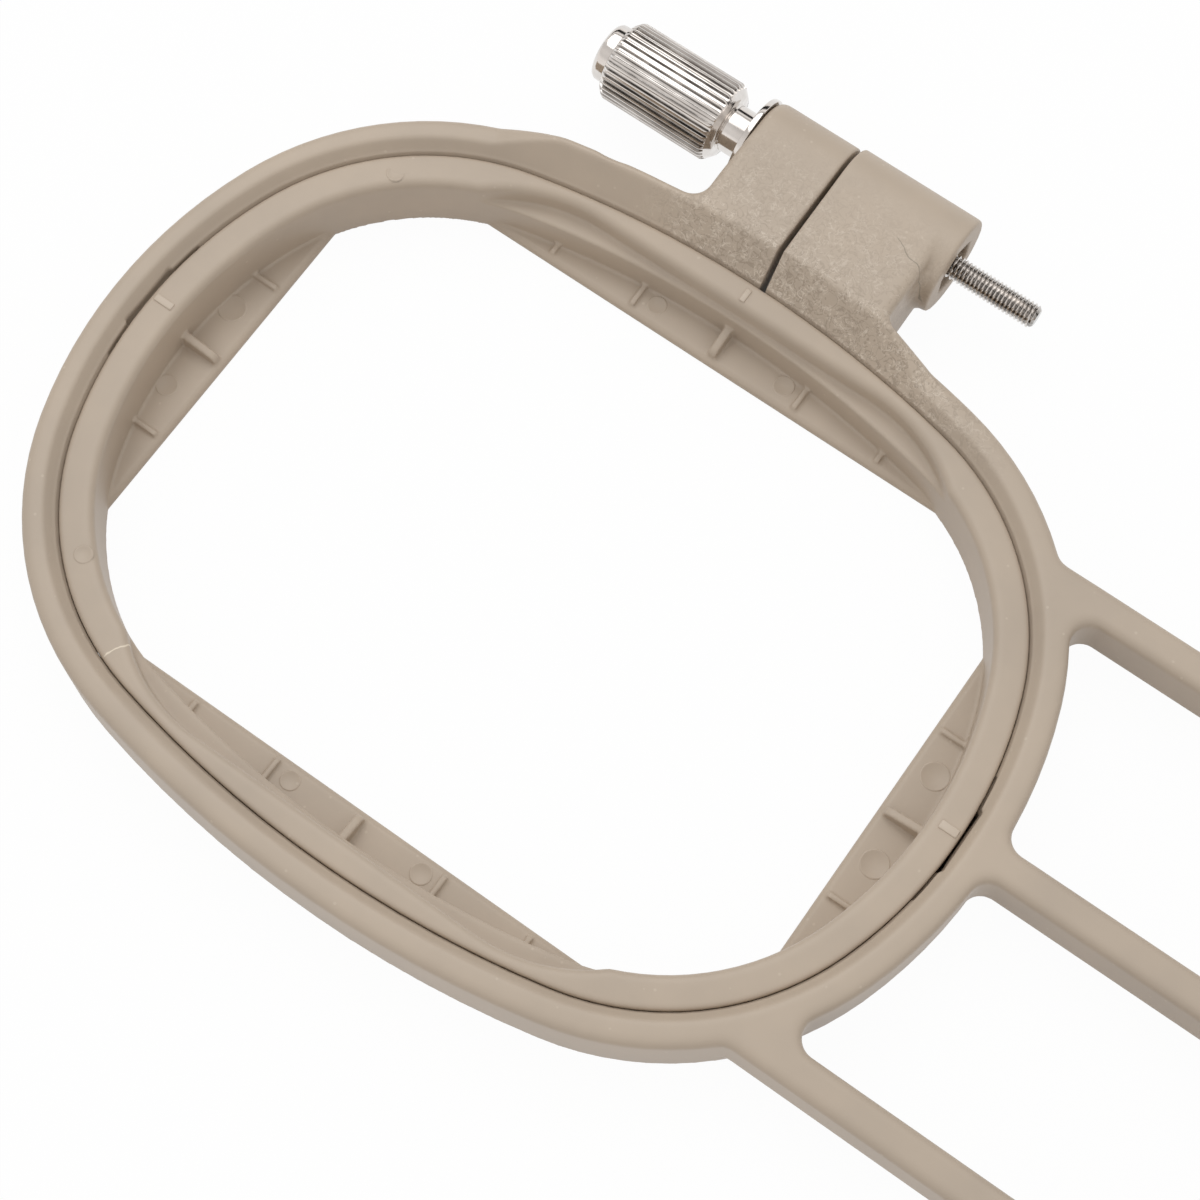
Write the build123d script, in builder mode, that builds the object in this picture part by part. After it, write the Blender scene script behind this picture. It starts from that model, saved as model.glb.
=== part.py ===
# A small clamping embroidery hoop: an outer frame with its arms and carriage bar, an inner frame
# that drops into it, and the thumb screw, washer and nut that draw the outer frame's two lugs together.
from build123d import *
from math import acos, asin, atan2, cos, degrees, hypot, sin
import os

os.makedirs("parts", exist_ok=True)

# Sizes are in millimetres. X runs along the hoop towards the machine's carriage, Y towards the
# clamp and Z upwards. The origin is the middle of the stitching field, on the face that lies
# on the machine's bed.

overrun = 2.0               # how far a cutter reaches past the faces that it cuts

# The seam between the two frames, an oval of eight tangent arcs
seam_half_length = 53.0
seam_half_width = 39.9
long_side_radius = 125.0
end_radius = 50.0
corner_rise = 8.5           # how far the corner arcs' radius falls short of the half width
frame_gap = 0.3             # from the inner frame's wall to the outer frame's bore

# Outer frame: the ring
ring_wall = 3.8             # from the seam to the ring's outer wall
ring_shift = 0.2            # the outer wall's oval sits this much nearer the carriage
ring_height = 9.8
ring_edge = 1.1             # rounding along the top of the ring and the arms
funnel_start = 8.3          # height where the bore begins to open out
funnel_lead = 0.1           # step at the foot of the funnel
funnel_slope_share = 0.65   # how far the funnel opens for each unit of height
notch_length = 8.0          # shallow locating notch in the bore at each end of the long axis
notch_depth = 0.15
notch_floor = 1.5

# Outer frame: the arms
arm_places_shares = (-1, 0, 1)
arm_spacing = 29.45
arm_width = 4.0
arm_bottom = 3.0
arm_root_radius = 2.2       # fillet where an arm leaves the ring
arm_foot = 3.0              # flare at its foot on the bar

# Outer frame: the carriage bar
arm_reach = 45.0            # from the seam's end to the bar
bar_width = 14.0
bar_length = 102.0
bar_corner = 3.0
bar_wall = 2.0
bar_roof = 2.2
bar_rib = 1.6
bar_edge = 0.7
lip_reach = 4.0
lip_length = 88.0
lip_thickness = 2.4
lip_notch_width = 4.2
lip_notch_depth = 2.6
lip_notch_spacing = 36.0
lip_notch_shares = (-1, 1)

# Outer frame: the two clamp lugs
axis_reach = 15.15          # from the seam to the screw's axis
axis_z = 6.9
left_barrel_radius = 5.5
right_barrel_radius = 5.85
left_lug_start = -9.6
gap_start = 1.05            # left side of the slit between the lugs
gap_at_ring = 0.72          # its width at the seam and at the lugs' outer end
gap_at_end = 0.45
right_lug_end = 17.1
web_end = 15.3              # the right lug's web is narrower than its barrel
neck_radius = 1.2           # hollow between the web's flank and the barrel's end
left_root_radius = 2.2
right_root_radius = 1.5
lug_edge = 1.0              # rounding along the top of the lugs and the ring beside them
slit_edge = 0.2             # bevel along the slit
ramp_run = 7.0              # length of the slope up to the thick part of the ring
left_ramp_top = -26.0
right_ramp_top = 16.2
right_ramp_run = 6.0
ramp_bend = 5.0             # radius at the top of the slope
lug_foot = 0.5              # thickening of the ring down at the bed, under the lugs
screw_hole_radius = 1.75
pocket_depth = 4.6          # hexagonal pocket for the nut, in the end of the right lug
pocket_clearance = 0.1      # on each flat

# Inner frame
inner_height = 8.3
inner_wall = 3.75
inner_top_edge = 0.9        # rounding along the top of the inner wall
inner_rim_edge = 0.25       # bevel along the top of the outer wall
end_flange_reach = 9.1      # from the seam to the opening, at the ends and at the long sides
side_flange_reach = 8.1
flange_thickness = 1.2
shelf_end_reach = 15.2      # the upper wall is cut back over both long sides down to a shelf,
shelf_side_reach = 3.3      # this far from the seam
shelf_corner = 19.8
shelf_height = 5.4
flange_edge = 0.8           # rounding along the opening
big_rib = (1.0, 2.2, 1.2)   # middle rib of a flange: width, height at the wall, height at its nose
small_rib = (0.65, 0.8, 0.5)
rib_setback = 0.7           # from a rib's nose to the opening
rib_nose_share = 0.8        # rounding of the nose, as a share of its height
rib_start_reach = 3.25      # from the seam to a rib's start, inside the wall
end_rib_spacing = 10.9
side_rib_spacing = 11.0
end_rib_shares = (-1, 0, 1)
side_rib_shares = (-2, -1, 0, 1, 2)

# Knob, screw, washer and nut
knob_radius = 4.9
knob_start = -28.4
knob_end = -13.2
knob_chamfer = 0.7
flute_count = 36
flute_depth = 0.36
boss_radius = 3.5
boss_length = 1.8
boss_chamfer = 0.4
shoulder_radius = 2.85
washer_radius = 5.4
washer_thickness = 0.7
washer_clearance = 0.08
screw_radius = 1.45
screw_end = 27.9
screw_chamfer = 0.45
screw_depth = 9.0           # how far the shank is pressed into the knob
nut_flats = 5.5
nut_thickness = 2.4
nut_clearance = 0.05


def meeting_point(first, first_radius, second, second_radius):
    """The meeting point, away from the origin, of two circles about first and second."""
    run = (second[0] - first[0], second[1] - first[1])
    span = hypot(*run)
    turn = acos((first_radius ** 2 + span ** 2 - second_radius ** 2) / (2 * first_radius * span))
    heading = atan2(run[1], run[0]) + turn
    return first[0] + first_radius * cos(heading), first[1] + first_radius * sin(heading)


def oval_arcs():
    """Centre, radius, start and sweep of the seam's eight arcs, anticlockwise from the +X end."""
    end_x = seam_half_length - end_radius
    side_y = seam_half_width - long_side_radius
    corner_x, corner_y = meeting_point(
        (end_x, 0), end_radius - corner_radius, (0, side_y), long_side_radius - corner_radius)
    first = degrees(atan2(corner_y, corner_x - end_x))
    second = degrees(atan2(corner_y - side_y, corner_x))
    return [
        ((end_x, 0), end_radius, -first, 2 * first),
        ((corner_x, corner_y), corner_radius, first, second - first),
        ((0, side_y), long_side_radius, second, 180 - 2 * second),
        ((-corner_x, corner_y), corner_radius, 180 - second, second - first),
        ((-end_x, 0), end_radius, 180 - first, 2 * first),
        ((-corner_x, -corner_y), corner_radius, 180 + first, second - first),
        ((0, -side_y), long_side_radius, 180 + second, 180 - 2 * second),
        ((corner_x, -corner_y), corner_radius, 360 - second, second - first),
    ]


def fill_oval(offset, shift=0):
    """Fills, in the open sketch, the oval that runs parallel to the seam at this distance."""
    with BuildLine() as oval:
        for centre, radius, start, sweep in oval_arcs():
            CenterArc((centre[0] + shift, centre[1]), radius + offset, start, sweep)
    make_face(oval.edges())


bore_offset = frame_gap / 2
corner_radius = seam_half_width - corner_rise
clamp_inside = seam_half_width / 2
axis_y = seam_half_width + axis_reach
bar_start = seam_half_length + arm_reach
field_half_length = seam_half_length - end_flange_reach
field_half_width = seam_half_width - side_flange_reach
left_height = axis_z + left_barrel_radius
right_height = axis_z + right_barrel_radius
bar_end = bar_start + bar_width
washer_start = left_lug_start - washer_thickness
arm_places = [arm_spacing * share for share in arm_places_shares]

# Outer frame, first stage: the ring with its arms, with filleted roots and a rounded top
with BuildPart() as ring_and_arms:
    with BuildSketch(Plane.XY.offset(arm_bottom)) as plan:
        fill_oval(ring_wall, ring_shift)
        for place in arm_places:
            with Locations((0, place)):
                Rectangle(bar_start + bar_wall, arm_width, align=(Align.MIN, Align.CENTER))
        fillet([v for v in plan.vertices() if seam_half_width < v.X < bar_start], arm_root_radius)
    extrude(amount=ring_height - arm_bottom)
    fillet(ring_and_arms.edges().group_by(Axis.Z)[-1].filter_by(
        lambda edge: edge.center().X < bar_start), ring_edge)
    with BuildSketch():
        fill_oval(ring_wall, ring_shift)
    extrude(amount=arm_bottom)

# The carriage bar, hollow from below, with a cross rib in line with each arm and a lip behind
with BuildPart() as bar:
    with BuildSketch():
        with Locations((bar_start + bar_width / 2, 0)):
            RectangleRounded(bar_width, bar_length, bar_corner)
    extrude(amount=ring_height)
    with BuildSketch(Plane.XY.offset(arm_bottom)):
        for place in arm_places:
            Polygon((bar_start - arm_foot, place - arm_width / 2), (bar_start, place - arm_width / 2 - arm_foot),
                    (bar_start + bar_wall, place - arm_width / 2 - arm_foot),
                    (bar_start + bar_wall, place + arm_width / 2 + arm_foot),
                    (bar_start, place + arm_width / 2 + arm_foot), (bar_start - arm_foot, place + arm_width / 2),
                    align=None)
    extrude(amount=ring_height - arm_bottom)
    chamfer(bar.edges().group_by(Axis.Z)[-1], bar_edge)
    with BuildSketch():
        with Locations((bar_start + bar_width / 2, 0)):
            Rectangle(bar_width - 2 * bar_wall, bar_length - 2 * bar_wall)
        with Locations([(bar_start + bar_width / 2, place) for place in arm_places]):
            Rectangle(bar_width, bar_rib, mode=Mode.SUBTRACT)
    extrude(amount=ring_height - bar_roof, mode=Mode.SUBTRACT)
    with BuildSketch():
        with Locations((bar_start + bar_width + lip_reach / 2, 0)):
            Rectangle(lip_reach, lip_length)
        with Locations([(bar_start + bar_width + lip_reach, lip_notch_spacing * share)
                        for share in lip_notch_shares]):
            Rectangle(2 * lip_notch_depth, lip_notch_width, mode=Mode.SUBTRACT)
    extrude(amount=lip_thickness)


def lug_section(barrel_radius):
    """Section across the clamp: the ring down to the bed, the lug's web and the round barrel at its end."""
    Rectangle(seam_half_width + ring_wall + lug_foot, axis_z + barrel_radius, align=(Align.MIN, Align.MIN))
    with Locations((axis_y / 2, axis_z)):
        Rectangle(axis_y, 2 * barrel_radius)
    with Locations((axis_y, axis_z)):
        Circle(barrel_radius)


def slit_outline():
    """Plan of the slit between the lugs, a little narrower at its outer end."""
    outer = axis_y + right_barrel_radius
    taper = (gap_at_ring - gap_at_end) / (outer - seam_half_width)
    Polygon((gap_start, 0), (gap_start + gap_at_ring + taper * seam_half_width, 0),
            (gap_start + gap_at_end - taper * overrun, outer + overrun), (gap_start, outer + overrun),
            align=None)


def rim_edges(part):
    """The edges around the top of a lug, the end of its barrel and the ring beside it."""
    return part.edges().filter_by(
        lambda edge: edge.center().Y > seam_half_width - ring_wall and abs(edge.center().Y - axis_y) > frame_gap
        and (edge.center().Z > ring_height - ring_edge or edge.center().Y > axis_y))


# Outer frame, second stage: the left lug, with the thick stretch of ring that runs up to it
with BuildPart() as left_clamp:
    with BuildSketch() as left_plan:
        fill_oval(ring_wall, ring_shift)
        with Locations((left_lug_start, 0)):
            Rectangle(gap_start - left_lug_start, axis_y + left_barrel_radius, align=(Align.MIN, Align.MIN))
        fillet([v for v in left_plan.vertices() if abs(v.X - left_lug_start) < frame_gap
                and seam_half_width < v.Y < axis_y], left_root_radius)
        with Locations((left_ramp_top - 2 * ramp_run, clamp_inside)):
            Rectangle(gap_start - left_ramp_top + 2 * ramp_run, axis_y, align=(Align.MIN, Align.MIN),
                      mode=Mode.INTERSECT)
    extrude(amount=left_height)
    with BuildSketch(Plane.YZ):
        lug_section(left_barrel_radius)
    extrude(amount=seam_half_length, both=True, mode=Mode.INTERSECT)
    with BuildSketch(Plane.XZ) as left_ramp:
        slope_run = ramp_run * left_height / (left_height - ring_height)
        Polygon((left_ramp_top - slope_run, 0), (gap_start, 0), (gap_start, left_height),
                (left_ramp_top, left_height), align=None)
        fillet(left_ramp.vertices().sort_by(Axis.Y)[-2:].sort_by(Axis.X)[0], ramp_bend)
    extrude(amount=axis_y + seam_half_width, both=True, mode=Mode.INTERSECT)
    rim = rim_edges(left_clamp)
    fillet(rim.filter_by(lambda edge: edge.center().X < gap_start - frame_gap), lug_edge)
    chamfer(rim_edges(left_clamp).filter_by(lambda edge: edge.center().X > gap_start - frame_gap), slit_edge)

# Outer frame, third stage: the right lug, whose web stops short of its barrel's end
with BuildPart() as right_clamp:
    with BuildSketch() as right_plan:
        fill_oval(ring_wall, ring_shift)
        Rectangle(web_end, axis_y, align=(Align.MIN, Align.MIN))
        fillet([v for v in right_plan.vertices() if abs(v.X - web_end) < frame_gap
                and seam_half_width < v.Y < axis_y - overrun], right_root_radius)
        with Locations((0, clamp_inside)):
            Rectangle(right_ramp_top + 2 * right_ramp_run, axis_y, align=(Align.MIN, Align.MIN),
                      mode=Mode.INTERSECT)
    extrude(amount=right_height)
    with BuildSketch(Plane.YZ):
        Rectangle(seam_half_width + ring_wall + lug_foot, right_height, align=(Align.MIN, Align.MIN))
        with Locations((axis_y / 2, axis_z)):
            Rectangle(axis_y, 2 * right_barrel_radius)
    extrude(amount=seam_half_length, both=True, mode=Mode.INTERSECT)
    with BuildSketch(Plane.XZ) as right_ramp:
        slope_run = right_ramp_run * right_height / (right_height - ring_height)
        Polygon((right_ramp_top + slope_run, 0), (0, 0), (0, right_height),
                (right_ramp_top, right_height), align=None)
        fillet(right_ramp.vertices().sort_by(Axis.Y)[-2:].sort_by(Axis.X)[-1], ramp_bend)
    extrude(amount=axis_y + seam_half_width, both=True, mode=Mode.INTERSECT)
    rim = rim_edges(right_clamp)
    fillet(rim.filter_by(lambda edge: edge.center().X > web_end / 2 + overrun), lug_edge)
    with BuildSketch(Plane.YZ):
        with Locations((axis_y, axis_z)):
            Circle(right_barrel_radius)
    extrude(amount=right_lug_end)
    fillet(right_clamp.edges().filter_by(GeomType.CIRCLE).filter_by(
        lambda edge: edge.radius > pocket_depth).sort_by(Axis.X)[-1], lug_edge)
    with BuildSketch():
        slit_outline()
        Rectangle(gap_start, 2 * axis_y, align=(Align.MIN, Align.MIN))
    extrude(amount=right_height + overrun, mode=Mode.SUBTRACT)
    chamfer(rim_edges(right_clamp).filter_by(
        lambda edge: edge.center().X < gap_start + gap_at_ring + frame_gap), slit_edge)
    neck_reach = degrees(asin((right_barrel_radius - lug_edge) / (right_barrel_radius + neck_radius)))
    neck_start = Plane((web_end, axis_y, axis_z), x_dir=(1, 0, 0), z_dir=(0, 0, -1)).rotated((-neck_reach, 0, 0))
    with BuildSketch(neck_start):
        with Locations((0, right_barrel_radius - neck_radius)):
            Rectangle(neck_radius, 2 * neck_radius, align=(Align.MIN, Align.MIN))
        with Locations((neck_radius, right_barrel_radius + neck_radius)):
            Circle(neck_radius, mode=Mode.SUBTRACT)
    revolve(axis=Axis((0, axis_y, axis_z), (1, 0, 0)), revolution_arc=2 * neck_reach)

# The opening of the outer frame: a straight bore with its end notches, then the funnel
with BuildPart() as opening:
    with BuildSketch():
        fill_oval(bore_offset)
    extrude(amount=right_height + overrun)
    with BuildSketch(Plane.XY.offset(notch_floor)):
        with Locations((-seam_half_length, 0), (seam_half_length, 0)):
            Rectangle(2 * (notch_depth + bore_offset), notch_length)
    extrude(amount=right_height)
    with BuildSketch(Plane.XY.offset(funnel_start)):
        fill_oval(bore_offset + funnel_lead)
    with BuildSketch(Plane.XY.offset(right_height + overrun)):
        fill_oval(bore_offset + funnel_lead + funnel_slope_share * (right_height + overrun - funnel_start))
    loft(ruled=True)

# Outer frame: the stages joined, then opened, slit and drilled
with BuildPart() as outer_frame:
    add([ring_and_arms.part, bar.part, left_clamp.part, right_clamp.part])
    add(opening.part, mode=Mode.SUBTRACT)
    with BuildSketch():
        slit_outline()
    extrude(amount=right_height + overrun, mode=Mode.SUBTRACT)
    with BuildSketch(Plane.YZ.offset(left_lug_start - overrun)):
        with Locations((axis_y, axis_z)):
            Circle(screw_hole_radius)
    extrude(amount=right_lug_end - left_lug_start + 2 * overrun, mode=Mode.SUBTRACT)
    with BuildSketch(Plane.YZ.offset(right_lug_end - pocket_depth)):
        with Locations((axis_y, axis_z)):
            RegularPolygon(nut_flats / 2 + pocket_clearance, 6, major_radius=False, rotation=30)
    extrude(amount=pocket_depth + overrun, mode=Mode.SUBTRACT)


def rib_profile(sketch, side, edge, wall, rib):
    """Side view of a flange's rib, from the wall towards the opening's edge, with a rounded nose."""
    width, height, nose = rib
    Polygon((side * wall, flange_thickness / 2), (side * (edge + rib_setback), flange_thickness / 2),
            (side * (edge + rib_setback), flange_thickness + nose), (side * wall, flange_thickness + height),
            align=None)
    tip = min(sketch.vertices(), key=lambda corner: (round(abs(corner.X)), -corner.Y))
    fillet(tip, rib_nose_share * nose)


# Inner frame: an oval wall with a flange along each side of the opening. Over the long sides the
# wall's upper part is cut back to a shelf, and each flange is stiffened by ribs square to its edge.
with BuildPart() as inner_frame:
    with BuildSketch():
        fill_oval(-frame_gap / 2)
    extrude(amount=inner_height)
    with BuildSketch(Plane.XY.offset(flange_thickness)):
        fill_oval(-frame_gap / 2 - inner_wall)
    extrude(amount=inner_height, mode=Mode.SUBTRACT)
    with BuildSketch():
        fill_oval(-frame_gap / 2 - inner_wall)
        Rectangle(2 * field_half_length, 2 * field_half_width, mode=Mode.INTERSECT)
    extrude(amount=flange_thickness, mode=Mode.SUBTRACT)
    fillet(inner_frame.edges().filter_by(GeomType.LINE).filter_by(
        lambda edge: abs(edge.center().Z - flange_thickness) < frame_gap), flange_edge)
    with BuildSketch(Plane.XY.offset(shelf_height)):
        RectangleRounded(2 * (seam_half_length - shelf_end_reach),
                         2 * (seam_half_width - shelf_side_reach), shelf_corner)
    extrude(amount=inner_height, mode=Mode.SUBTRACT)
    chamfer(inner_frame.faces().sort_by(Axis.Z)[-1].outer_wire().edges(), inner_rim_edge)
    fillet(inner_frame.faces().sort_by(Axis.Z)[-1].inner_wires()[0].edges(), inner_top_edge)
    for side in (-1, 1):
        for share in end_rib_shares:
            with BuildSketch(Plane.XZ.offset(-share * end_rib_spacing)) as rib:
                rib_profile(rib, side, field_half_length, seam_half_length - rib_start_reach,
                            small_rib if share else big_rib)
            extrude(amount=(small_rib if share else big_rib)[0] / 2, both=True)
        for share in side_rib_shares:
            with BuildSketch(Plane.YZ.offset(share * side_rib_spacing)) as rib:
                rib_profile(rib, side, field_half_width, seam_half_width - rib_start_reach,
                            small_rib if share else big_rib)
            extrude(amount=(small_rib if share else big_rib)[0] / 2, both=True)

# Knob: a collar, the fluted grip and a neck, turned in one piece and bored for the screw's shank
with BuildPart() as knob:
    with BuildSketch(Plane.YZ.offset(knob_start)):
        with Locations((axis_y, axis_z)):
            Circle(knob_radius)
    extrude(amount=knob_end - knob_start)
    chamfer(knob.edges(), knob_chamfer)
    with BuildSketch(Plane.YZ.offset(knob_start)):
        with Locations((axis_y, axis_z)):
            with PolarLocations(knob_radius, flute_count):
                RegularPolygon(flute_depth, 4)
    extrude(amount=knob_end - knob_start, mode=Mode.SUBTRACT)
    with BuildSketch(Plane.YZ.offset(knob_start - boss_length)):
        with Locations((axis_y, axis_z)):
            Circle(boss_radius)
    extrude(amount=boss_length + knob_chamfer)
    chamfer(knob.edges().sort_by(Axis.X)[0], boss_chamfer)
    with BuildSketch(Plane.YZ.offset(washer_start)):
        with Locations((axis_y, axis_z)):
            Circle(shoulder_radius)
    extrude(amount=knob_end - knob_chamfer - washer_start)
    with BuildSketch(Plane.YZ.offset(washer_start)):
        with Locations((axis_y, axis_z)):
            Circle(screw_radius)
    extrude(amount=-screw_depth, mode=Mode.SUBTRACT)

# Screw: a plain shank here; its thread is part of the visual model
with BuildPart() as screw:
    with BuildSketch(Plane.YZ.offset(washer_start - screw_depth)):
        with Locations((axis_y, axis_z)):
            Circle(screw_radius)
    extrude(amount=screw_end - washer_start + screw_depth)
    chamfer(screw.edges().sort_by(Axis.X)[-1], screw_chamfer)

with BuildPart() as washer:
    with BuildSketch(Plane.YZ.offset(washer_start)):
        with Locations((axis_y, axis_z)):
            Circle(washer_radius)
            Circle(screw_radius + washer_clearance, mode=Mode.SUBTRACT)
    extrude(amount=washer_thickness)

# Nut: it lies on the floor of the hexagonal pocket
with BuildPart() as nut:
    with BuildSketch(Plane.YZ.offset(right_lug_end - pocket_depth)):
        with Locations((axis_y, axis_z)):
            RegularPolygon(nut_flats / 2, 6, major_radius=False, rotation=30)
            Circle(screw_radius + nut_clearance, mode=Mode.SUBTRACT)
    extrude(amount=nut_thickness)

outer_frame.part.label = "outer_frame"
inner_frame.part.label = "inner_frame"
knob.part.label = "knob"
screw.part.label = "screw"
washer.part.label = "washer"
nut.part.label = "nut"
export_step(outer_frame.part, "parts/outer_frame.step")
export_step(inner_frame.part, "parts/inner_frame.step")
export_step(knob.part, "parts/knob.step")
export_step(screw.part, "parts/screw.step")
export_step(washer.part, "parts/washer.step")
export_step(nut.part, "parts/nut.step")
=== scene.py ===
# %% [markdown]
# # A small embroidery hoop, dressed over its CAD solids
# The solids of the hoop are loaded first and stay as they are: they give every size. The cells
# below put the visible pieces over them. They are the two moulded frames with their softened edges,
# the plated thumb screw with its flutes and thread, and the small marks that moulding leaves.

# %% Load the solids
import math

import bmesh
import bpy
import numpy
from mathutils import Matrix, Vector


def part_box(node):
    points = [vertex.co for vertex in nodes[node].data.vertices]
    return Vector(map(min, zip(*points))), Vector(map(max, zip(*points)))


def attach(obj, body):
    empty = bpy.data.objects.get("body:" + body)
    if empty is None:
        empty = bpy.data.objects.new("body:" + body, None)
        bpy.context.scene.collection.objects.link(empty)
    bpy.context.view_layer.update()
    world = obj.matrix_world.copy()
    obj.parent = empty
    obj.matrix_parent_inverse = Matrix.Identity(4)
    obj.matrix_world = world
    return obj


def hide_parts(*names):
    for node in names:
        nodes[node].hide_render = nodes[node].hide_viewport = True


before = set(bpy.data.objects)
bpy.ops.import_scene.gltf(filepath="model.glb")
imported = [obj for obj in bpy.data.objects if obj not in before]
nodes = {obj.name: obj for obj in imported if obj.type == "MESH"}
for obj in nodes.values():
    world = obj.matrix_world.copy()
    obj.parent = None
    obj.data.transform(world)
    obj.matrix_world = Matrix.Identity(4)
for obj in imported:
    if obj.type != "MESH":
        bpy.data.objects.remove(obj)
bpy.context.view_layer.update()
mm = 0.001

# %% [markdown]
# The places below are read from the solids or repeat their driving sizes in millimetres. X runs
# along the hoop to the machine's carriage, Y to the clamp, and Z upwards from the machine's bed.
# The seam between the two frames is an oval of arcs that meet smoothly: a flat arc along each long
# side, a tighter one at each end, and the tightest at the four corners.

# %% Places on the hoop
washer_low, washer_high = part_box("washer")
knob_low, knob_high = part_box("knob")
screw_low, screw_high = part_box("screw")
nut_low, nut_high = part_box("nut")
axis_y = (knob_low.y + knob_high.y) / 2
axis_z = (knob_low.z + knob_high.z) / 2
flange_top = 1.2 * mm
slit_x = 1.5 * mm
end_centre, end_radius = (3.0 * mm, 0.0), 50.0 * mm
side_centre, side_radius = (0.0, -85.1 * mm), 125.0 * mm
corner_radius = 31.4 * mm
inner_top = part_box("inner_frame")[1].z
print("screw axis at y", round(axis_y / mm, 2), "z", round(axis_z / mm, 2), "mm")

# %% [markdown]
# The camera stands where the photographer's stood: high over the hoop, a little to the front and
# to the carriage's side, with the hoop turned in the picture. A long lens keeps the arms parallel.

# %% Camera
camera_data = bpy.data.cameras.new("camera")
camera = bpy.data.objects.new("camera", camera_data)
bpy.context.scene.collection.objects.link(camera)
bpy.context.scene.camera = camera
camera_data.sensor_width = 36
camera_data.lens = 78.51
right = Vector((0.8164, 0.5774, 0.0087))
up = Vector((-0.5485, 0.7706, 0.3246))
back = right.cross(up).normalized()
up = back.cross(right).normalized()
camera.matrix_world = Matrix.Translation(Vector((57.8, -74.8, 269.9)) * mm) @ Matrix(
    (right, up, back)).transposed().to_4x4()
print("camera", [round(c / mm, 1) for c in camera.location], "mm")

# %% [markdown]
# Node trees are long to write out, so a few helpers come first. One adds a node with its settings
# and links. The others stand for the small sums, products, fades and mixes that every surface
# below is made of, and for a ramp of colours.

# %% Helpers for node trees
def node(tree, kind, links=(), **settings):
    """Adds a node, sets its sockets or properties, and links (output, socket) pairs into it."""
    made = tree.nodes.new(kind)
    for name, value in settings.items():
        if name in made.inputs:
            made.inputs[name].default_value = value
        else:
            setattr(made, name, value)
    for source, socket in links:
        tree.links.new(source, made.inputs[socket])
    return made


def math_node(tree, operation, *values):
    """The output of a Math node. A value may be a number or another node's output."""
    made = node(tree, "ShaderNodeMath", operation=operation)
    for socket, value in zip(made.inputs, values):
        if isinstance(value, (int, float)):
            socket.default_value = value
        else:
            tree.links.new(value, socket)
    return made.outputs[0]


def times(tree, product, *others):
    """The product of several values."""
    for other in others:
        product = math_node(tree, "MULTIPLY", product, other)
    return product


def fade(tree, value, start, end):
    """0 at start and 1 at end, held beyond both."""
    limits = {"From Min": start, "From Max": end}
    return node(tree, "ShaderNodeMapRange", [(value, "Value")], **limits).outputs[0]


def blend_colour(tree, share, under, colour):
    """Lays a colour over another by a share."""
    made = node(tree, "ShaderNodeMix", [(share, "Factor"), (under, "A")], data_type="RGBA")
    made.inputs["B"].default_value = (*colour, 1)
    return made.outputs["Result"]


def colour_ramp(tree, value, stops):
    """A colour that runs through stops of (place, colour) as the value rises."""
    made = node(tree, "ShaderNodeValToRGB", [(value, "Fac")])
    elements = made.color_ramp.elements
    elements[0].position = stops[0][0]
    elements[-1].position = stops[-1][0]
    for place, colour in stops[1:-1]:
        elements.new(place)
    for element, (place, colour) in zip(elements, stops):
        element.color = (*colour, 1)
    return made.outputs["Color"]


def mix_shaders(tree, share, under, over):
    """Mixes two shaders. The share is a number or another node's output."""
    made = node(tree, "ShaderNodeMixShader", [(under, 1), (over, 2)])
    if isinstance(share, float):
        made.inputs[0].default_value = share
    else:
        tree.links.new(share, made.inputs[0])
    return made.outputs[0]


print("helpers ready")

# %% [markdown]
# The floor is a pale sheet under the hoop. A product picture has a white ground, so the sheet
# glows a little by itself where the camera, or a shiny piece, looks at it, and keeps just enough
# plain paint to take the hoop's shadow. Other light bounces off it as off a warm grey card.

# %% Floor
floor_half_size = 1.5
floor_drop = 0.05 * mm
glow_share = 0.96
floor_mesh = bpy.data.meshes.new("floor")
build = bmesh.new()
bmesh.ops.create_grid(build, x_segments=8, y_segments=8, size=floor_half_size)
build.to_mesh(floor_mesh)
build.free()
floor = bpy.data.objects.new("floor", floor_mesh)
floor.location.z = -floor_drop
bpy.context.scene.collection.objects.link(floor)

floor_paint = bpy.data.materials.new("floor_card")
floor_paint.use_nodes = True
tree = floor_paint.node_tree
tree.nodes.clear()
dull = node(tree, "ShaderNodeBsdfDiffuse", Color=(0.56, 0.49, 0.42, 1)).outputs[0]
white = node(tree, "ShaderNodeBsdfDiffuse", Color=(0.9, 0.9, 0.9, 1)).outputs[0]
glow = node(tree, "ShaderNodeEmission", Strength=1.0).outputs[0]
seen = node(tree, "ShaderNodeLightPath").outputs
looked_at = math_node(tree, "MAXIMUM", seen["Is Camera Ray"], seen["Is Glossy Ray"])
card = mix_shaders(tree, looked_at, dull, mix_shaders(tree, glow_share, white, glow))
node(tree, "ShaderNodeOutputMaterial", [(card, "Surface")])
floor_mesh.materials.append(floor_paint)
print("floor card", floor_paint.name)

# %% [markdown]
# Plain soft light: a room of even pale grey, and one large soft lamp high at the back left. Bright
# turned metal looks like metal only when it has something to mirror, so rays that come off a shiny
# surface see the room as a studio would look: white all round, with one dark flag low at the back
# and greyer cloth overhead. The camera sees plain white beyond the floor's edge.

# %% Lamp and room
def area_lamp(name, place, size, power):
    """A square soft lamp that looks at the middle of the hoop."""
    data = bpy.data.lights.new(name, "AREA")
    data.shape = "SQUARE"
    data.size = size
    data.energy = power
    lamp = bpy.data.objects.new(name, data)
    lamp.location = place
    lamp.rotation_euler = (-Vector(place)).to_track_quat("-Z", "Y").to_euler()
    bpy.context.scene.collection.objects.link(lamp)
    return lamp


key = area_lamp("key_lamp", place=(-0.24, 0.22, 0.58), size=0.5, power=1.28)

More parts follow.
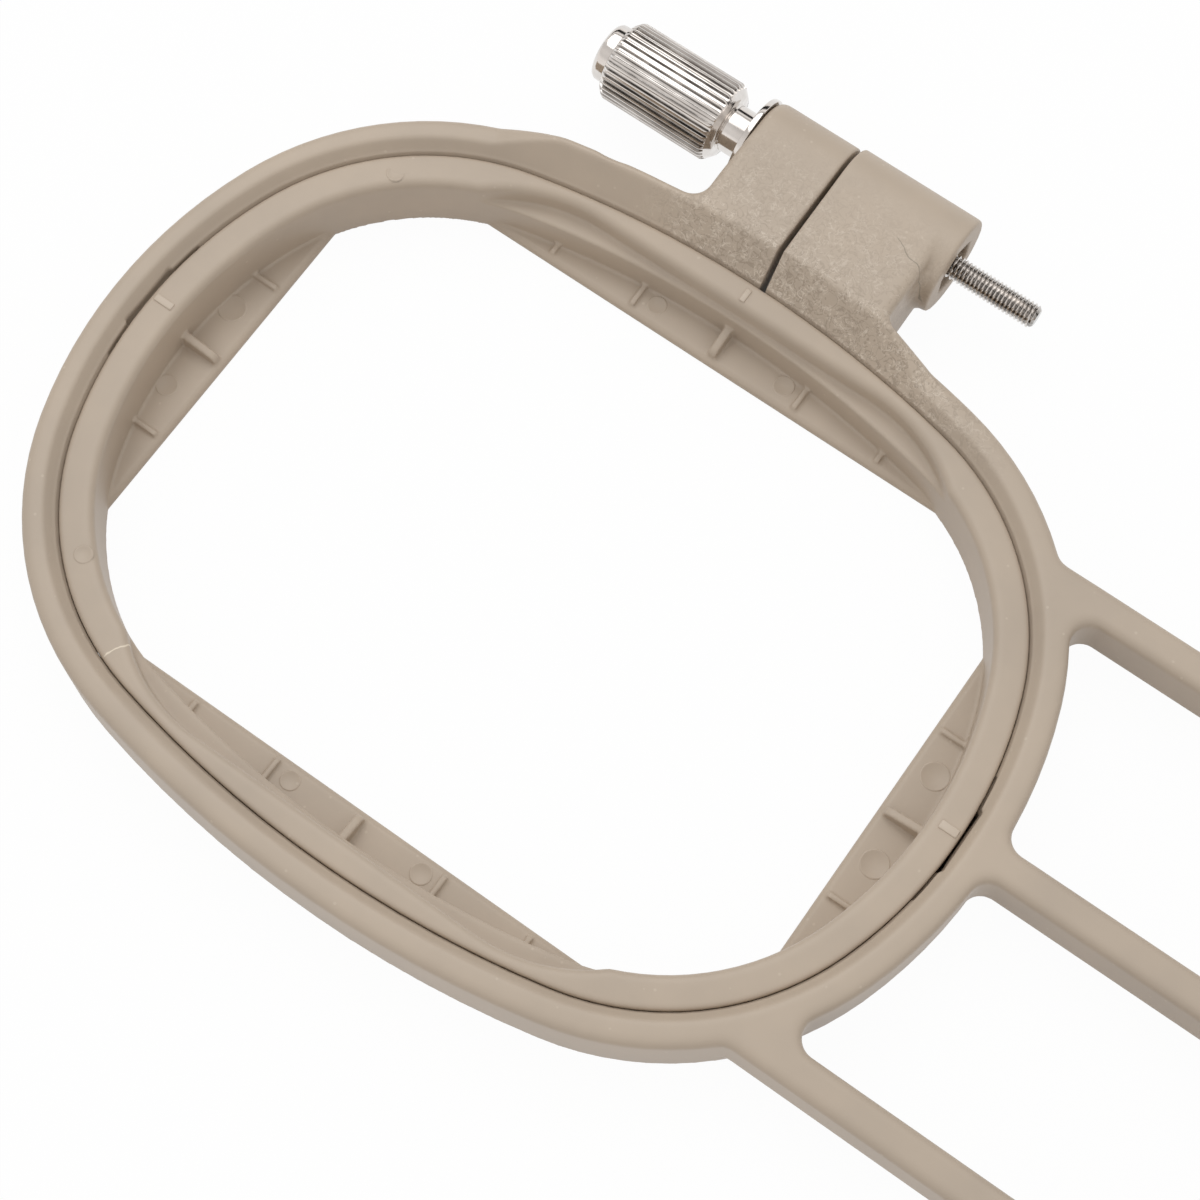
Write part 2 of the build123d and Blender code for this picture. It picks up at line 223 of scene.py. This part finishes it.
world = bpy.data.worlds.new("room")
bpy.context.scene.world = world
world.use_nodes = True
tree = world.node_tree
tree.nodes.clear()
air = node(tree, "ShaderNodeBackground", Color=(1, 0.985, 0.97, 1), Strength=0.74).outputs[0]
way = node(tree, "ShaderNodeTexCoord").outputs["Generated"]
split = node(tree, "ShaderNodeSeparateXYZ", [(way, 0)]).outputs
round_x = math_node(tree, "ARCTAN2", split["Y"], split["Z"])
studio_bands = [(0.0, 1.0), (0.13, 1.0), (0.2, 0.8), (0.3, 0.85), (0.42, 0.7), (0.52, 0.8), (0.62, 1.0),
                (0.74, 0.8), (0.785, 0.4), (0.8, 1.0), (0.835, 1.0), (0.855, 0.02), (0.925, 0.02),
                (0.945, 1.0), (1.0, 1.0)]
bands = colour_ramp(tree, fade(tree, round_x, -math.pi / 2, math.pi / 2),
                    [(share, (shade, shade * 0.965, shade * 0.94)) for share, shade in studio_bands])
studio = node(tree, "ShaderNodeBackground", [(bands, "Color")], Strength=1.0).outputs[0]
beyond = node(tree, "ShaderNodeBackground", Color=(1, 1, 1, 1), Strength=0.98).outputs[0]
seen = node(tree, "ShaderNodeLightPath").outputs
room = mix_shaders(tree, seen["Is Glossy Ray"], air, studio)
room = mix_shaders(tree, seen["Is Camera Ray"], room, beyond)
node(tree, "ShaderNodeOutputWorld", [(room, "Surface")])
bpy.context.scene.view_settings.view_transform = "Standard"
print("lamp", key.name, "power", key.data.energy, "W")

# %% [markdown]
# The frames are moulded in a warm grey-beige plastic with a satin skin. It could be one flat tone,
# but a real moulding drifts a little in colour where the melt flowed, and carries a few pale specks.
#
# Beside the clamp two flows of melt met. The skin there carries a tangle of fine pale curls, thick
# on the funnel's slope and thinning out over the lugs. A noise pattern has thin level lines that
# curl just so. The mask that says where they lie follows the seam's flat arc, whose distance from
# a point is one vector node.
#
# Two thin lines are drawn on top: the dark weld where the flows met on the right lug, and a pale
# nick across the inner frame's wall. Small raised marks carry an attribute that makes them paler.

# %% Plastic
def new_material(name):
    """A new material, its node tree and its Principled shader."""
    made = bpy.data.materials.new(name)
    made.use_nodes = True
    return made, made.node_tree, made.node_tree.nodes["Principled BSDF"]


def curls(scale, thickness, distortion):
    """Thin curling lines: the places where a noise pattern crosses its middle value."""
    pattern = node(tree, "ShaderNodeTexNoise", [(place, "Vector")], Scale=scale, Detail=2.0,
                   Distortion=distortion)
    off_middle = math_node(tree, "ABSOLUTE", math_node(tree, "SUBTRACT", pattern.outputs["Fac"], 0.5))
    return fade(tree, off_middle, thickness, thickness * 0.2)


def measure_along(run_x, run_y):
    """How far a point lies along a level way."""
    made = node(tree, "ShaderNodeVectorMath", [(place, 0)], operation="DOT_PRODUCT")
    made.inputs[1].default_value = (run_x, run_y, 0)
    return made.outputs["Value"]


def line_mark(start, end, half_width, wander):
    """1 along a wandering line between two places seen from above, and 0 away from it."""
    run = Vector(end) - Vector(start)
    length = run.length
    run.normalize()
    wobble = node(tree, "ShaderNodeTexNoise", [(place, "Vector")], Scale=450.0, Detail=2.0)
    shake = times(tree, math_node(tree, "SUBTRACT", wobble.outputs["Fac"], 0.5), wander)
    far = measure_along(run.x, run.y)
    first = start[0] * run.x + start[1] * run.y
    level = -start[0] * run.y + start[1] * run.x
    off_line = math_node(tree, "SUBTRACT", measure_along(-run.y, run.x), level)
    across = math_node(tree, "ABSOLUTE", math_node(tree, "ADD", off_line, shake))
    return times(tree, fade(tree, across, half_width, 0.3 * half_width),
                 fade(tree, far, first - 0.2 * mm, first + 0.3 * mm),
                 fade(tree, far, first + length + 0.2 * mm, first + length - 0.3 * mm))


plastic, tree, shader = new_material("moulded_plastic")
shader.inputs["Roughness"].default_value = 0.42
shader.inputs["Specular IOR Level"].default_value = 0.4
place = node(tree, "ShaderNodeTexCoord").outputs["Object"]
drift = node(tree, "ShaderNodeTexNoise", [(place, "Vector")], Scale=60.0, Detail=4.0, Roughness=0.6)
paint = colour_ramp(tree, drift.outputs["Fac"],
                    [(0.3, (0.462, 0.388, 0.312)), (0.72, (0.525, 0.438, 0.348))])

slope_rise, slope_fall = (-0.1 * mm, 0.2 * mm), (9 * mm, 2.2 * mm)
lug_rise, lug_fall = (0.0, 0.3 * mm), (17 * mm, 9 * mm)
left_rise, right_fall = (-16 * mm, -8 * mm), (36 * mm, 22 * mm)
split = node(tree, "ShaderNodeSeparateXYZ", [(place, "Vector")]).outputs
flat_place = node(tree, "ShaderNodeCombineXYZ", [(split["X"], "X"), (split["Y"], "Y")]).outputs[0]
from_centre = node(tree, "ShaderNodeVectorMath", [(flat_place, 0)], operation="DISTANCE")
from_centre.inputs[1].default_value = (*side_centre, 0)
outside = math_node(tree, "SUBTRACT", from_centre.outputs["Value"], side_radius)
on_slope = times(tree, fade(tree, outside, *slope_rise), fade(tree, outside, *slope_fall))
lug_tops = times(tree, fade(tree, outside, *lug_rise), fade(tree, outside, *lug_fall), 0.5)
near_clamp = times(tree, fade(tree, split["X"], *left_rise), fade(tree, split["X"], *right_fall))
tangle = times(tree, math_node(tree, "MAXIMUM", on_slope, lug_tops), near_clamp)

patches = node(tree, "ShaderNodeTexNoise", [(place, "Vector")], Scale=750.0, Detail=2.0)
broken = fade(tree, patches.outputs["Fac"], 0.42, 0.56)
fine = math_node(tree, "MAXIMUM", curls(470.0, 0.02, 1.6), curls(900.0, 0.03, 1.0))
# Painted shade: the sunk hollows among the curls are painted dark brown, and the bump below sinks the
# same places.
shaded_hollows = times(tree, curls(880.0, 0.05, 1.2), tangle, 0.5)
paint = blend_colour(tree, shaded_hollows, paint, (0.27, 0.215, 0.165))
paint = blend_colour(tree, times(tree, fine, broken, tangle, 0.55), paint, (0.78, 0.70, 0.60))
specks = node(tree, "ShaderNodeTexVoronoi", [(place, "Vector")], Scale=420.0)
speck = times(tree, fade(tree, specks.outputs["Distance"], 0.085, 0.05), 0.3)
paint = blend_colour(tree, speck, paint, (0.68, 0.60, 0.50))

high = fade(tree, split["Z"], 7.0 * mm, 7.5 * mm)
weld = line_mark((10.9 * mm, 51.5 * mm), (16.7 * mm, 49.1 * mm), 0.09 * mm, 1.2 * mm)
paint = blend_colour(tree, times(tree, weld, high, 0.6), paint, (0.2, 0.18, 0.14))
nick = line_mark((-30.9 * mm, -35.4 * mm), (-29.1 * mm, -32.4 * mm), 0.16 * mm, 2.2 * mm)
paint = blend_colour(tree, times(tree, nick, high, 0.75), paint, (0.85, 0.76, 0.62))
pale = node(tree, "ShaderNodeAttribute", attribute_name="pale").outputs["Fac"]
paint = blend_colour(tree, times(tree, pale, 0.3), paint, (0.72, 0.63, 0.53))
tree.links.new(paint, shader.inputs["Base Color"])

grain = node(tree, "ShaderNodeTexNoise", [(place, "Vector")], Scale=2600.0, Detail=2.0)
relief = math_node(tree, "ADD", grain.outputs["Fac"], times(tree, shaded_hollows, -6.0))
skin = node(tree, "ShaderNodeBump", [(relief, "Height")], Strength=0.15, Distance=0.02 * mm)
tree.links.new(skin.outputs["Normal"], shader.inputs["Normal"])
print("plastic nodes", len(tree.nodes))

# %% [markdown]
# The thumb screw's parts are turned steel under bright plating. A plated surface is not a perfect
# mirror: the turning tool leaves fine rings, and the plating is a little warm and uneven, which
# spreads each reflection. Rings round the screw's axis come from a wave of the distance along it.
# Painted shade, with some dirt, darkens the flutes' flanks and the thread's root. The meshes carry
# each point's share as an attribute, most in a band in front of the knob's axis and less at its sides.

# %% Bright plating
plating, tree, shader = new_material("bright_plating")
shader.inputs["Metallic"].default_value = 1.0
place = node(tree, "ShaderNodeTexCoord").outputs["Object"]
cloud = node(tree, "ShaderNodeTexNoise", [(place, "Vector")], Scale=420.0, Detail=3.0).outputs["Fac"]
bright = colour_ramp(tree, cloud, [(0.35, (0.67, 0.635, 0.605)), (0.7, (0.8, 0.77, 0.74))])
drawn_out = node(tree, "ShaderNodeMapping", [(place, "Vector")], Scale=(0.25, 1, 1)).outputs[0]
shade_and_dirt = node(tree, "ShaderNodeTexNoise", [(drawn_out, "Vector")], Scale=1300.0, Detail=3.0).outputs["Fac"]
groove_shade_and_dirt = node(tree, "ShaderNodeAttribute", attribute_name="groove_shade_and_dirt").outputs["Fac"]
across_knob = node(tree, "ShaderNodeSeparateXYZ", [(place, "Vector")]).outputs["Y"]
front_band_shade = times(tree, fade(tree, across_knob, axis_y + 2.8 * mm, axis_y - 0.4 * mm),
                 fade(tree, across_knob, axis_y - 5.2 * mm, axis_y - 3.6 * mm), 0.7)
# Painted shade: the flutes' flanks and the thread's root go near-black, most in the band in front of the
# axis, broken into dirt patches by the streaky noise.
dark = times(tree, groove_shade_and_dirt, math_node(tree, "ADD", front_band_shade, 0.25), fade(tree, shade_and_dirt, 0.2, 0.55))
tree.links.new(blend_colour(tree, dark, bright, (0.03, 0.027, 0.024)), shader.inputs["Base Color"])
gloss = node(tree, "ShaderNodeMapRange", [(cloud, "Value")], **{"To Min": 0.05, "To Max": 0.15})
tree.links.new(gloss.outputs[0], shader.inputs["Roughness"])
rings = node(tree, "ShaderNodeTexWave", [(place, "Vector")], wave_type="BANDS",
             bands_direction="X", Scale=2600.0, Distortion=1.5)
turned = node(tree, "ShaderNodeBump", [(rings.outputs["Fac"], "Height")], Strength=0.15,
              Distance=0.01 * mm)
tree.links.new(turned.outputs["Normal"], shader.inputs["Normal"])
print("plating nodes", len(tree.nodes))

# %% [markdown]
# Every soft edge follows the seam between the two frames. A function that says how far a point
# lies outside the seam is handy for all that comes next. The corner arc touches both its
# neighbours, which gives its centre.

# %% The seam
def corner_centre():
    """Where the corner arc's centre lies, so that it runs into both its neighbours."""
    run = (side_centre[0] - end_centre[0], side_centre[1] - end_centre[1])
    span = math.hypot(*run)
    first, second = end_radius - corner_radius, side_radius - corner_radius
    bend = math.acos((first ** 2 + span ** 2 - second ** 2) / (2 * first * span))
    turn = math.atan2(run[1], run[0]) + bend
    return end_centre[0] + first * math.cos(turn), end_centre[1] + first * math.sin(turn)


corner_x, corner_y = corner_centre()
end_turn = math.atan2(corner_y, corner_x - end_centre[0])
side_turn = math.atan2(corner_y - side_centre[1], corner_x)


def outside_seam(points):
    """For each point: how far it lies outside the seam, and the way that leads straight out."""
    x, y = abs(points[:, 0]), abs(points[:, 1])
    turn = numpy.arctan2(y - corner_y, x - corner_x)
    at_end, at_side = turn < end_turn, turn > side_turn
    centre_x = numpy.where(at_end, end_centre[0], numpy.where(at_side, side_centre[0], corner_x))
    centre_y = numpy.where(at_end, end_centre[1], numpy.where(at_side, side_centre[1], corner_y))
    radius = numpy.where(at_end, end_radius, numpy.where(at_side, side_radius, corner_radius))
    reach = numpy.hypot(x - centre_x, y - centre_y)
    out_x = numpy.sign(points[:, 0]) * (x - centre_x) / reach
    out_y = numpy.sign(points[:, 1]) * (y - centre_y) / reach
    return reach - radius, numpy.stack([out_x, out_y, 0 * out_x], axis=1)


print("corner arc's centre", round(corner_x / mm, 2), round(corner_y / mm, 2), "mm")

# %% [markdown]
# Each frame is one moulding, and a mould has no sharp inside corners, so every edge of the real
# frames is soft. Rounding a solid's edges one by one is slow work. A quicker way is to copy the
# mesh, rebuild it from small voxels, which loses the corners, and let it melt a little with a
# smooth. A vertex group says how much each place melts. Last, the faces that flat stretches do not
# need are dropped. The solids themselves stay untouched.

# %% Soft mouldings
voxel = 0.17 * mm
kept_share = 0.25
soft_levels = 50


def settle(piece):
    """Applies a piece's modifiers to its mesh."""
    mesh = bpy.data.meshes.new_from_object(piece.evaluated_get(bpy.context.evaluated_depsgraph_get()))
    piece.modifiers.clear()
    old, piece.data = piece.data, mesh
    bpy.data.meshes.remove(old)


def read_points(mesh):
    """A mesh's points as an array of three columns."""
    flat = numpy.empty(3 * len(mesh.vertices))
    mesh.vertices.foreach_get("co", flat)
    return flat.reshape(-1, 3)


def moulded_copy(name, solid_name, softness, rounds, reshape=None):
    """A copy of a solid's mesh with its edges melted round, most where softness is near 1."""
    piece = bpy.data.objects.new(name, nodes[solid_name].data.copy())
    bpy.context.scene.collection.objects.link(piece)
    rebuild = piece.modifiers.new("voxels", "REMESH")
    rebuild.mode = "VOXEL"
    rebuild.voxel_size = voxel
    settle(piece)
    points = read_points(piece.data)
    if reshape:
        points = reshape(points)
        piece.data.vertices.foreach_set("co", points.ravel())
    levels = numpy.round(soft_levels * softness(points))
    group = piece.vertex_groups.new(name="softness")
    for level in range(1, soft_levels + 1):
        group.add(numpy.nonzero(levels == level)[0].tolist(), level / soft_levels, "REPLACE")
    melt = piece.modifiers.new("melt", "SMOOTH")
    melt.factor = 0.5
    melt.iterations = rounds
    melt.vertex_group = "softness"
    thin = piece.modifiers.new("thin_out", "DECIMATE")
    thin.ratio = kept_share
    settle(piece)
    piece.data.shade_smooth()
    piece.data.materials.clear()
    piece.data.materials.append(plastic)
    return piece


# %% [markdown]
# The outer frame melts most along the crest beside the clamp and round the ends of its lugs, and
# hardly at all on the seam's rim and in the slit. Its bore also gets the draft that lets a moulding
# leave its tool: it closes in below the rim, so the seam is a fine dark line and no light comes
# through it. The inner frame melts most along its wall's inner edge, and less round its thin ribs.
#
# Each pair of values below is where a mask starts and where it is full.

# %% Outer and inner mouldings
bore_draft = 0.25 * mm
bore_gap = 0.15 * mm
draft_start = 8.05 * mm
draft_run = 0.4 * mm
draft_reach = 1.0 * mm
notch_draft = 0.31 * mm
notch_start = 7.4 * mm
notch_zone_x = 45 * mm
notch_zone_y = 8 * mm

rim_width = 0.4 * mm
crest_heights = (8.1 * mm, 8.7 * mm)
crest_inside, crest_outside = (rim_width, 1.3 * mm), (8.5 * mm, 5.0 * mm)
swell_left, swell_right = (-28 * mm, -25 * mm), (-10 * mm, -14 * mm)
lug_ends = (47 * mm, 51 * mm)
beside_slit = (1.2 * mm, 3 * mm)
round_bore = (3.9 * mm, 4.9 * mm)
slit_half_width = 1.0 * mm
slit_start_y = 38 * mm
wall_heights = (3.4 * mm, 4.6 * mm)
wall_inner_edge = (-0.5 * mm, -1.6 * mm)


def ramp_between(values, start, end):
    """0 at start and 1 at end, held beyond both, for a whole array."""
    return numpy.clip((values - start) / (end - start), 0, 1)


def close_bore(points):
    """Moves the bore's wall inwards below its rim, lower down where the ring's ends are notched."""
    out, way = outside_seam(points)
    at_notch = (abs(points[:, 0]) > notch_zone_x) & (abs(points[:, 1]) < notch_zone_y)
    start = numpy.where(at_notch, notch_start, draft_start)
    depth = numpy.clip((start - points[:, 2]) / draft_run, 0, 1)
    wall = ramp_between(out, draft_reach, bore_gap) * (out > -bore_gap)
    draft = numpy.where(at_notch, notch_draft, bore_draft)
    return points - way * (draft * wall * depth)[:, None]


def outer_softness(points):
    """Melts the funnel's crest and the lugs' ends most, and the rim, slit, bores and arms least."""
    out, way = outside_seam(points)
    x, y, z = points.T
    crest = ramp_between(z, *crest_heights) * ramp_between(out, *crest_inside)
    crest *= ramp_between(out, *crest_outside)
    swell = ramp_between(x, *swell_left) * ramp_between(x, *swell_right)
    lugs = ramp_between(y, *lug_ends) * ramp_between(abs(x - slit_x), *beside_slit)
    lugs *= ramp_between(numpy.hypot(y - axis_y, z - axis_z), *round_bore)
    slit = (abs(x - slit_x) < slit_half_width) & (y > slit_start_y)
    soft = numpy.maximum(0.1, numpy.maximum((0.42 + 0.58 * swell) * crest, 0.6 * lugs))
    return numpy.where(slit, 0.02, numpy.where(abs(out) < rim_width, 0.04, soft))


def inner_softness(points):
    """Melts the wall's inner edge most and the thin flanges and ribs least."""
    out, way = outside_seam(points)
    high = ramp_between(points[:, 2], *wall_heights)
    return 0.12 + 0.34 * high * ramp_between(out, *wall_inner_edge) + 0.1 * high


outer_moulding = moulded_copy("outer_moulding", "outer_frame", outer_softness, rounds=60,
                              reshape=close_bore)
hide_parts("outer_frame")
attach(outer_moulding, "hoop")
inner_moulding = moulded_copy("inner_moulding", "inner_frame", inner_softness, rounds=20)
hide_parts("inner_frame")
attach(inner_moulding, "inner")
print("faces", len(outer_moulding.data.polygons), "and", len(inner_moulding.data.polygons))

# %% [markdown]
# Everything on the screw's axis is round, so one small lathe makes it: it takes the stations of
# a profile along the axis, and joins their rings of points. A function says for each station and
# turn how far the point lies from the axis, which is how the knob gets its flutes and the shank
# its thread, and how dark it is painted with shade and dirt.

# %% A lathe on the screw's axis
def new_piece(name, build, material):
    """Turns a bmesh into a smooth piece of one material."""
    mesh = bpy.data.meshes.new(name)
    build.to_mesh(mesh)
    build.free()
    mesh.materials.append(material)
    mesh.shade_smooth()
    piece = bpy.data.objects.new(name, mesh)
    bpy.context.scene.collection.objects.link(piece)
    return piece


def lathe(name, stations, steps, shape_at, body, closed=False):
    """Joins rings about the axis, with a cap at each end, or closed from the last ring to the first."""
    build = bmesh.new()
    groove_shade_and_dirt = build.verts.layers.float.new("groove_shade_and_dirt")
    rings = []
    for station in stations:
        ring = []
        for step in range(steps):
            turn = 2 * math.pi * step / steps
            reach, shade_and_dirt = shape_at(station, turn)
            point = build.verts.new((station[0], axis_y + reach * math.cos(turn),
                                     axis_z + reach * math.sin(turn)))
            point[groove_shade_and_dirt] = shade_and_dirt
            ring.append(point)
        rings.append(ring)
    following = rings[1:] + (rings[:1] if closed else [])
    for first, second in zip(rings, following):
        for step in range(steps):
            after = (step + 1) % steps
            build.faces.new((first[step], first[after], second[after], second[step]))
    if not closed:
        build.faces.new(rings[0])
        build.faces.new(rings[-1])
    bmesh.ops.recalc_face_normals(build, faces=build.faces)
    piece = new_piece(name, build, plating)
    piece.data.set_sharp_from_angle(angle=math.radians(38))
    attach(piece, body)
    return piece


print("lathe ready")

# %% [markdown]
# The knob has a smooth boss, a grip with thirty-six flutes, and a neck that bears on the washer.
# The flutes are flat-floored valleys with steep flanks between narrower flat ridges, and painted
# shade with some dirt lies along the foot of each flank. Both ends of the grip are chamfered, so
# each ridge ends in a small bright facet.

# %% Knob
knob_radius = (knob_high.y - knob_low.y) / 2
boss_end = knob_low.x
grip_start = boss_end + 1.8 * mm
grip_end = -13.2 * mm
neck_end = knob_high.x
flute_depth = 0.4 * mm
flutes = 36
flute_points = 12
chamfer = 0.7 * mm
valley_share, flank_share = 0.34, 0.1
shade_and_dirt_share, shade_and_dirt_spread = 0.25, 0.16


def knob_shape(station, turn):
    """Radius here, less on a flute's floor, and the painted shade and dirt on the flute's flank."""
    x, radius, depth = station
    if not depth:
        return radius, 0.0
    across = abs((turn * flutes / (2 * math.pi)) % 1.0 - 0.5)
    valley = min(1.0, max(0.0, (valley_share - across) / flank_share))
    shade_and_dirt = max(0.0, 1.0 - abs(across - shade_and_dirt_share) / shade_and_dirt_spread) ** 0.7
    return radius - depth * valley, shade_and_dirt


knob_stations = [
    (boss_end, 0.6 * mm, 0), (boss_end, 3.05 * mm, 0), (boss_end + 0.12 * mm, 3.27 * mm, 0),
    (boss_end + 0.4 * mm, 3.46 * mm, 0), (boss_end + 0.7 * mm, 3.5 * mm, 0),
    (grip_start - 0.15 * mm, 3.5 * mm, 0), (grip_start, 3.62 * mm, 0),
    (grip_start, knob_radius - chamfer - 0.05 * mm, 0),
    (grip_start + 0.1 * mm, knob_radius - chamfer + 0.12 * mm, 0),
    (grip_start + chamfer - 0.15 * mm, knob_radius - 0.12 * mm, 0.75 * flute_depth),
    (grip_start + chamfer + 0.1 * mm, knob_radius, flute_depth),
    (grip_end - 1.2 * mm, knob_radius, flute_depth),
    (grip_end - 0.9 * mm, knob_radius - 0.14 * mm, 0.7 * flute_depth),
    (grip_end - 0.68 * mm, knob_radius - 0.36 * mm, 0),
    (grip_end - 0.12 * mm, knob_radius - 0.95 * mm, 0),
    (grip_end, knob_radius - 1.12 * mm, 0),
    (grip_end, 3.05 * mm, 0), (grip_end + 0.2 * mm, 2.87 * mm, 0),
    (neck_end - 0.15 * mm, 2.85 * mm, 0), (neck_end, 2.7 * mm, 0), (neck_end, 1.5 * mm, 0)]
knob = lathe("thumb_knob", knob_stations, flutes * flute_points, knob_shape, "thumb_screw")
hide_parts("knob")
print("knob faces", len(knob.data.polygons))

# %% [markdown]
# The screw's thread is a real helix: the radius follows a wave along the shank that moves on by
# one pitch each turn, with a crest and a root. The chamfer at the tip cuts it off.

# %% Threaded shank
shank_radius = (screw_high.y - screw_low.y) / 2
thread_start = neck_end
thread_end = screw_high.x
pitch = 0.5 * mm
thread_depth = 0.27 * mm
crest_share, thread_flank_share = 0.08, 0.3
tip_chamfer = 0.45 * mm
turn_steps = 28
level_steps = 6


def thread_shape(station, turn):
    """A trapezium wave along the helix, cut by the tip's chamfer, with painted shade and dirt in its
    root.
    """
    x = station[0]
    across = (x / pitch - turn / (2 * math.pi)) % 1.0
    rise = min(1.0, max(0.0, (abs(across - 0.5) - crest_share) / thread_flank_share))
    limit = shank_radius - max(0.0, tip_chamfer - (thread_end - x))
    reach = min(limit, shank_radius - thread_depth * (1.0 - rise))
    return reach, 0.8 * min(1.0, (shank_radius - reach) / thread_depth)


levels = int((thread_end - thread_start) / (pitch / level_steps)) + 1
thread_stations = [(min(thread_end, thread_start + level * pitch / level_steps),)
                   for level in range(levels + 1)]
shank = lathe("threaded_shank", thread_stations, turn_steps, thread_shape, "thumb_screw")
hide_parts("screw")
print("thread turns", round((thread_end - thread_start) / pitch))

# %% [markdown]
# The washer is stamped from sheet, so one side's edge is rounded by the die and the other is
# nearly square. It has a hole, so its profile runs out, across and in again, and is closed.

# %% Washer
washer_radius = (washer_high.y - washer_low.y) / 2
hole_radius = 1.53 * mm
die_round = 0.2 * mm
washer_steps = 96
washer_path = [
    (washer_low.x, hole_radius), (washer_low.x, washer_radius - die_round),
    (washer_low.x + 0.06 * mm, washer_radius - 0.06 * mm), (washer_low.x + die_round, washer_radius),
    (washer_high.x - 0.05 * mm, washer_radius), (washer_high.x, washer_radius - 0.05 * mm),
    (washer_high.x, hole_radius)]


def washer_shape(station, turn):
    """The profile's radius all the way round, with no painted shade or dirt."""
    return station[1], 0.0


washer = lathe("stamped_washer", washer_path, washer_steps, washer_shape, "washer", closed=True)
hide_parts("washer")
print("washer faces", len(washer.data.polygons))

# %% [markdown]
# The nut sits in its pocket, where only its end face and the corners' chamfers can be seen. Each
# ring of its profile is a hexagon whose corners are cut back by the round chamfer. A ring without
# a hexagon is the hole's.

# %% Nut
nut_flats = (nut_high.y - nut_low.y) / 2
nut_corners = 1.2 * nut_flats
nut_hole = 1.5 * mm
nut_steps = 72
corner_cut = 0.25 * mm


def nut_shape(station, turn):
    """Distance from the axis to a hexagon's side with flats towards Y, cut by a circle."""
    x, round_limit = station
    if not round_limit:
        return nut_hole, 0.0
    off_flat = (turn + math.pi / 6) % (math.pi / 3) - math.pi / 6
    return min(nut_flats / math.cos(off_flat), round_limit), 0.0


nut_path = [(nut_low.x, 0), (nut_low.x, nut_flats), (nut_low.x + corner_cut, nut_corners),
            (nut_high.x - corner_cut, nut_corners), (nut_high.x, nut_flats), (nut_high.x, 0)]
nut = lathe("clamp_nut", nut_path, nut_steps, nut_shape, "hoop", closed=True)
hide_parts("nut")
print("nut faces", len(nut.data.polygons))

# %% [markdown]
# The pins that push a moulding out of its tool leave shallow discs with a fine raised rim. They lie
# on the flanges beside the ribs and on the wall's top. Each is a small round of rings of points, a
# few hundredths of a millimetre proud. Short raised dashes mark the middle of three of the sides.

# %% Marks of the tool
disc_rise = 0.015 * mm
rim_rise = 0.08 * mm
skirt_drop = 0.03 * mm
rim_inside, rim_slope = 0.22 * mm, 0.1 * mm
mark_steps = 40
weld_distance = 0.001 * mm
dash_height = 0.36 * mm
dash_edge = 0.14 * mm


def finish_plastic(name, build, pale_share):
    """Turns a bmesh into a small plastic piece on the inner frame."""
    piece = new_piece(name, build, plastic)
    shade = piece.data.attributes.new("pale", "FLOAT", "POINT")
    shade.data.foreach_set("value", [pale_share] * len(piece.data.vertices))
    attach(piece, "inner")
    return piece


def pin_mark(name, x, y, floor_z, radius, start=0.0, end=360.0):
    """A disc left by an ejector pin, or the part of it between two turns."""
    build = bmesh.new()
    rows = []
    profile = [(0.0, disc_rise), (radius - rim_inside, disc_rise), (radius - rim_slope, rim_rise),
               (radius, rim_rise), (radius + rim_slope, -skirt_drop)]
    for step in range(mark_steps + 1):
        turn = math.radians(start + (end - start) * step / mark_steps)
        rows.append([build.verts.new((x + reach * math.cos(turn), y + reach * math.sin(turn),
                                      floor_z + rise)) for reach, rise in profile])
    for first, second in zip(rows, rows[1:]):
        for ring in range(len(profile) - 1):
            build.faces.new((first[ring], first[ring + 1], second[ring + 1], second[ring]))
    bmesh.ops.remove_doubles(build, verts=build.verts, dist=weld_distance)
    bmesh.ops.recalc_face_normals(build, faces=build.faces)
    return finish_plastic(name, build, 0.15)


flange_marks = [(-47.4, 6.2, 1.6), (-47.5, -5.5, 1.25), (46.9, 6.3, 1.6), (46.9, -5.4, 1.6),
                (-8.6, -33.7, 1.1), (8.7, -33.8, 1.2), (-8.6, 34.3, 1.1), (8.6, 34.4, 1.2)]
for number, (x, y, radius) in enumerate(flange_marks, 1):
    pin_mark(f"flange_pin_mark_{number}", x * mm, y * mm, flange_top, radius * mm)
pin_mark("wall_pin_mark_1", -39.8 * mm, -27.8 * mm, inner_top, 1.0 * mm)
pin_mark("wall_pin_mark_2", -40.0 * mm, 27.8 * mm, inner_top, 1.0 * mm, 180, 380)


def side_dash(name, x, y, along, across):
    """A low raised dash with soft ends on the inner frame's top."""
    build = bmesh.new()
    bmesh.ops.create_cube(build, size=1.0)
    bmesh.ops.scale(build, vec=(along, across, dash_height), verts=build.verts)
    bmesh.ops.bevel(build, geom=build.edges, offset=dash_edge, segments=3, profile=0.5,
                    affect="EDGES")
    bmesh.ops.translate(build, vec=(x, y, inner_top), verts=build.verts)
    return finish_plastic(name, build, 1.0)


side_dash("middle_dash_1", -51.15 * mm, 0.3 * mm, 2.4 * mm, 0.9 * mm)
side_dash("middle_dash_2", 51.4 * mm, 0.3 * mm, 2.2 * mm, 1.0 * mm)
side_dash("middle_dash_3", 0.4 * mm, 38.05 * mm, 0.7 * mm, 1.7 * mm)
print("marks", len(flange_marks) + 5)
